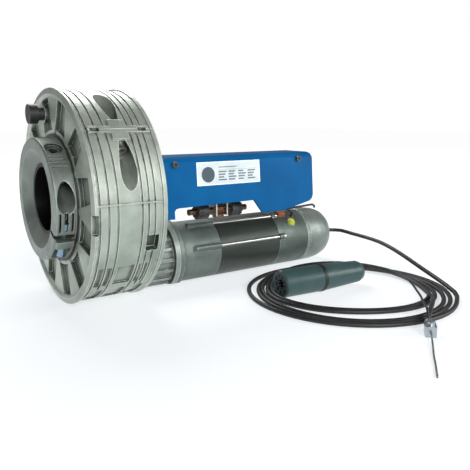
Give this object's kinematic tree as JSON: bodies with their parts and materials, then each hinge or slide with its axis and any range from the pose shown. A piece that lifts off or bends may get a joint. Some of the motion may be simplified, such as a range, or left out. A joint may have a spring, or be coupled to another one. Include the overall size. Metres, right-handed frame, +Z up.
{
  "type": "roller shutter drive motor",
  "caption": "Side drive for a roller shutter: split crown turning on a clamped hub, parallel motor below, screw limit switch, blue cover and coiled brake release cable.",
  "frame": {"origin": "centre of the hub's outer end face, on the axis of the tube bore", "axes": "+X along the tube bore from the hub towards the motor, +Z up, -Y towards the cover"},
  "size_m": [0.3887, 0.4201, 0.203],
  "materials": {
    "crown_aluminium": "die cast, satin",
    "case_aluminium": "sand cast, dull",
    "black_steel": "oiled black",
    "bright_steel": "bright plated",
    "zinc_steel": "blue zinc",
    "nylon": "moulded nylon",
    "brass": "machined",
    "spindle_bronze": "dark bronze",
    "winding_copper": "varnished copper",
    "magnet_paint": "painted steel",
    "gear_steel": "machined",
    "friction_lining": "pressed lining",
    "blue_plastic": "moulded, semi-gloss",
    "plate_print": "printed label",
    "capacitor_can": "drawn can",
    "rust_plastic": "moulded",
    "earth_brass": "yellow-green washer",
    "cable_black": "extruded sheath",
    "handle_green": "moulded, slight texture",
    "wire_steel": "bare wire rope"
  },
  "bodies": {
    "housing": {"gear_case": "case_aluminium", "hub_cap": "case_aluminium", "hub_joint_bolts": "bright_steel", "clamp_bolt": "zinc_steel", "tube_set_screw": "black_steel", "crown_bearing_left": "nylon", "crown_bearing_right": "nylon", "gear_bushes": "brass", "gearbox_neck": "case_aluminium", "neck_screws": "bright_steel", "front_end_shield": "case_aluminium", "stator_stack": "black_steel", "stator_windings": "winding_copper", "motor_bearings": "bright_steel", "rear_end_shield": "case_aluminium", "tie_bolts": "bright_steel", "brake_magnet": "magnet_paint", "brake_springs": "bright_steel", "end_cap": "case_aluminium", "end_cap_screws": "bright_steel", "cable_adjuster": "nylon", "chassis_plate": "bright_steel", "microswitches": "nylon", "cover_posts": "bright_steel", "blue_cover": "blue_plastic", "cover_screws": "black_steel", "rating_plate": "plate_print", "capacitor": "capacitor_can", "lead_connector": "rust_plastic", "earth_terminal": "earth_brass", "motor_leads": "cable_black", "release_cable": "cable_black", "cable_coil": "cable_black", "handle_body": "handle_green", "handle_nose": "handle_green", "handle_band": "cable_black", "handle_socket": "cable_black", "handle_wire": "cable_black", "wire_clamp": "zinc_steel", "wire_clamp_screw": "zinc_steel", "wire_tail": "wire_steel"},
    "crown": {"crown_front_half": "crown_aluminium", "crown_rear_half": "crown_aluminium", "ring_gear_front": "gear_steel", "ring_gear_rear": "gear_steel", "crown_joint_bolts": "bright_steel", "crown_joint_nuts": "bright_steel", "crown_stop_knob": "nylon"},
    "output": {"output_shaft": "bright_steel"},
    "layshaft": {"layshaft": "bright_steel"},
    "rotor": {"rotor_shaft": "bright_steel", "rotor_core": "gear_steel", "brake_disc": "friction_lining"},
    "armature": {"brake_armature": "bright_steel"},
    "limit_drive": {"limit_drive_shaft": "bright_steel"},
    "spindle": {"limit_spindle": "spindle_bronze"},
    "nut_up": {"limit_nut_up": "nylon"},
    "nut_down": {"limit_nut_down": "nylon"},
    "lever_up": {"switch_lever_up": "bright_steel"},
    "lever_down": {"switch_lever_down": "bright_steel"}
  },
  "joints": [
    {"name": "rotor_spin", "type": "hinge", "parent": "housing", "child": "rotor", "pos_m": [0.2, -0.005, -0.068], "axis": [1, 0, 0], "range_deg": [-21504, 21504]},
    {"name": "crown_spin", "type": "hinge", "parent": "housing", "child": "crown", "pos_m": [0.05, 0, 0], "axis": [1, 0, 0], "range_deg": [-181, 181]},
    {"name": "output_spin", "type": "hinge", "parent": "housing", "child": "output", "pos_m": [0.05, 0.03638, -0.05386], "axis": [1, 0, 0], "range_deg": [-980, 980]},
    {"name": "layshaft_spin", "type": "hinge", "parent": "housing", "child": "layshaft", "pos_m": [0.06, 0.01448, -0.05903], "axis": [1, 0, 0], "range_deg": [-3917, 3917]},
    {"name": "limit_drive_spin", "type": "hinge", "parent": "housing", "child": "limit_drive", "pos_m": [0.1, -0.06795, 0.00267], "axis": [1, 0, 0], "range_deg": [-1224, 1224]},
    {"name": "spindle_spin", "type": "hinge", "parent": "housing", "child": "spindle", "pos_m": [0.16, -0.06607, -0.01523], "axis": [1, 0, 0], "range_deg": [-1924, 1924]},
    {"name": "limit_nut_up_slide", "type": "slide", "parent": "housing", "child": "nut_up", "axis": [1, 0, 0], "range_m": [-0.0042, 0.0042]},
    {"name": "limit_nut_down_slide", "type": "slide", "parent": "housing", "child": "nut_down", "axis": [1, 0, 0], "range_m": [-0.0042, 0.0042]},
    {"name": "brake_release", "type": "slide", "parent": "housing", "child": "armature", "axis": [1, 0, 0], "range_m": [0, 0.0008], "stiffness_N_per_m": 8000, "springref_m": -0.002, "deforming": ["brake_springs"]},
    {"name": "switch_lever_up_swing", "type": "hinge", "parent": "housing", "child": "lever_up", "pos_m": [0.15, -0.05947, -0.00373], "axis": [0, -1, 0], "range_deg": [0, 6], "stiffness_Nm_per_rad": 0.002, "springref_deg": -11.46},
    {"name": "switch_lever_down_swing", "type": "hinge", "parent": "housing", "child": "lever_down", "pos_m": [0.168, -0.05947, -0.00373], "axis": [0, 1, 0], "range_deg": [0, 6], "stiffness_Nm_per_rad": 0.002, "springref_deg": -11.46}
  ],
  "couplings": [
    {"joint": "crown_spin", "follows": "rotor_spin", "ratio": 0.0083705},
    {"joint": "output_spin", "follows": "rotor_spin", "ratio": 0.044643},
    {"joint": "layshaft_spin", "follows": "rotor_spin", "ratio": -0.17857},
    {"joint": "limit_drive_spin", "follows": "rotor_spin", "ratio": 0.055804},
    {"joint": "spindle_spin", "follows": "rotor_spin", "ratio": -0.087691},
    {"joint": "limit_nut_up_slide", "follows": "rotor_spin", "m_per_rad": 0.000010467},
    {"joint": "limit_nut_down_slide", "follows": "rotor_spin", "m_per_rad": 0.000010467}
  ]
}
